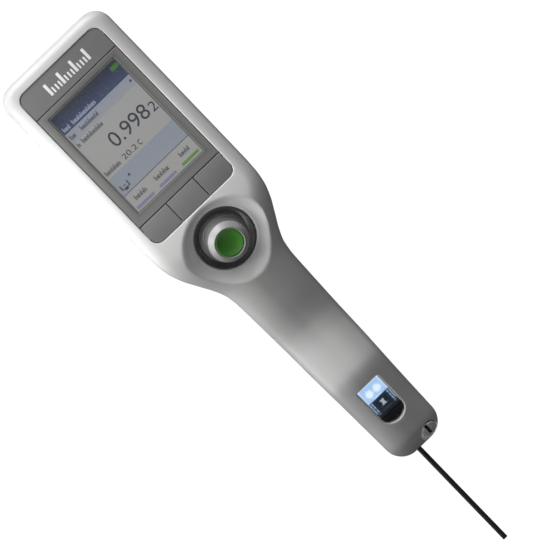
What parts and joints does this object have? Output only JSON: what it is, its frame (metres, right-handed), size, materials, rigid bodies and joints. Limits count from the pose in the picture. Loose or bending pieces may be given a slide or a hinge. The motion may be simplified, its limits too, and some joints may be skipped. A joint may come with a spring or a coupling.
{
  "type": "handheld density meter",
  "caption": "Handheld liquid density meter: screen head with soft keys, thumb pump button, slim curved grip, lit measuring cell and a thin sampling tube at the tip.",
  "frame": {"origin": "under the middle of the whole length, on the surface that the meter lies on with its screen up", "axes": "+X is the right side seen from the screen, +Y points to the end of the head, away from the sampling tube, +Z is the normal of the screen"},
  "size_m": [0.0676, 0.3216, 0.0442],
  "materials": {
    "shell": "fine satin moulded plastic, pale grey",
    "panel": "satin mid grey plastic",
    "display_glass": "smooth grey tinted window",
    "dark_plastic": "satin dark grey plastic",
    "black_plastic": "satin black plastic",
    "white_plastic": "white plastic",
    "button": "satin light grey plastic",
    "green_cap": "satin green insert",
    "rubber": "matt black rubber",
    "steel": "turned steel",
    "brass": "turned brass",
    "copper": "wound copper wire",
    "clear": "clear glass or clear tube",
    "diffuser": "lit pale blue diffuser",
    "circuit_board": "green solder mask",
    "lcd": "lit screen",
    "battery": "plain cell sleeve",
    "flat_cable": "amber film",
    "needle": "black fluoropolymer tube"
  },
  "bodies": {
    "housing": {"front_shell": "shell", "rear_shell": "shell", "title_plate": "panel", "display_window": "display_glass", "panel_carrier": "dark_plastic", "lcd_frame": "steel", "lcd_glass": "lcd", "backlight": "white_plastic", "main_board": "circuit_board", "key_switch_left": "black_plastic", "key_switch_middle": "black_plastic", "key_switch_right": "black_plastic", "battery_tray": "black_plastic", "battery_left": "battery", "battery_right": "battery", "bridge_plate": "steel", "terminal_plate_left": "steel", "terminal_plate_right": "steel", "contact_spring_left": "steel", "contact_spring_right": "steel", "rest_strip_left": "rubber", "rest_strip_right": "rubber", "heel_pad": "rubber", "case_screw_1": "steel", "case_screw_2": "steel", "case_screw_3": "steel", "case_screw_4": "steel", "case_screw_5": "steel", "button_well": "black_plastic", "pump_cylinder": "clear", "return_spring": "steel", "suction_hose": "clear", "flat_cable": "flat_cable", "cell_window": "clear", "light_diffuser": "diffuser", "led_left": "white_plastic", "led_right": "white_plastic", "led_board": "circuit_board", "cell_block": "black_plastic", "cell_tube": "clear", "cell_magnet": "steel", "pickup_coil": "copper", "temperature_sensor": "steel", "cell_board": "circuit_board", "cell_manifold": "black_plastic", "inlet_seal": "rubber", "inlet_fitting": "brass"},
    "soft_key_left_body": {"soft_key_left": "panel"},
    "soft_key_middle_body": {"soft_key_middle": "panel"},
    "soft_key_right_body": {"soft_key_right": "panel"},
    "pump_button_body": {"pump_button": "button", "button_cap": "green_cap", "piston_rod": "white_plastic", "piston_seal": "rubber"},
    "battery_door": {"battery_cover": "shell", "cover_seal": "rubber"},
    "door_screw": {"cover_screw": "steel"},
    "tube_screw": {"fixing_screw": "steel"},
    "tube_body": {"sampling_tube": "needle"}
  },
  "joints": [
    {"name": "soft_key_left_press", "type": "slide", "parent": "housing", "child": "soft_key_left_body", "axis": [0, 0, -1], "range_m": [0, 0.0005], "stiffness_N_per_m": 400, "springref_m": -0.0004},
    {"name": "soft_key_middle_press", "type": "slide", "parent": "housing", "child": "soft_key_middle_body", "axis": [0, 0, -1], "range_m": [0, 0.0005], "stiffness_N_per_m": 400, "springref_m": -0.0004},
    {"name": "soft_key_right_press", "type": "slide", "parent": "housing", "child": "soft_key_right_body", "axis": [0, 0, -1], "range_m": [0, 0.0005], "stiffness_N_per_m": 400, "springref_m": -0.0004},
    {"name": "pump_button_press", "type": "slide", "parent": "housing", "child": "pump_button_body", "axis": [0, 0.309, -0.9511], "range_m": [0, 0.006], "stiffness_N_per_m": 500, "springref_m": -0.002, "deforming": ["return_spring"]},
    {"name": "battery_door_swing", "type": "hinge", "parent": "housing", "child": "battery_door", "pos_m": [0, 0.15245, 0.002], "axis": [1, 0, 0], "range_deg": [0, 65]},
    {"name": "door_screw_turn", "type": "hinge", "parent": "battery_door", "child": "door_screw", "pos_m": [0, 0.08275, 0.003], "axis": [0, 0, 1], "range_deg": [0, 90]},
    {"name": "tube_screw_turn", "type": "hinge", "parent": "housing", "child": "tube_screw", "pos_m": [0.0064, -0.09855, 0.01359], "axis": [0, -0.848, 0.5299], "continuous": true},
    {"name": "tube_pull_out", "type": "slide", "parent": "housing", "child": "tube_body", "axis": [0, -1, 0], "range_m": [0, 0.03]}
  ]
}
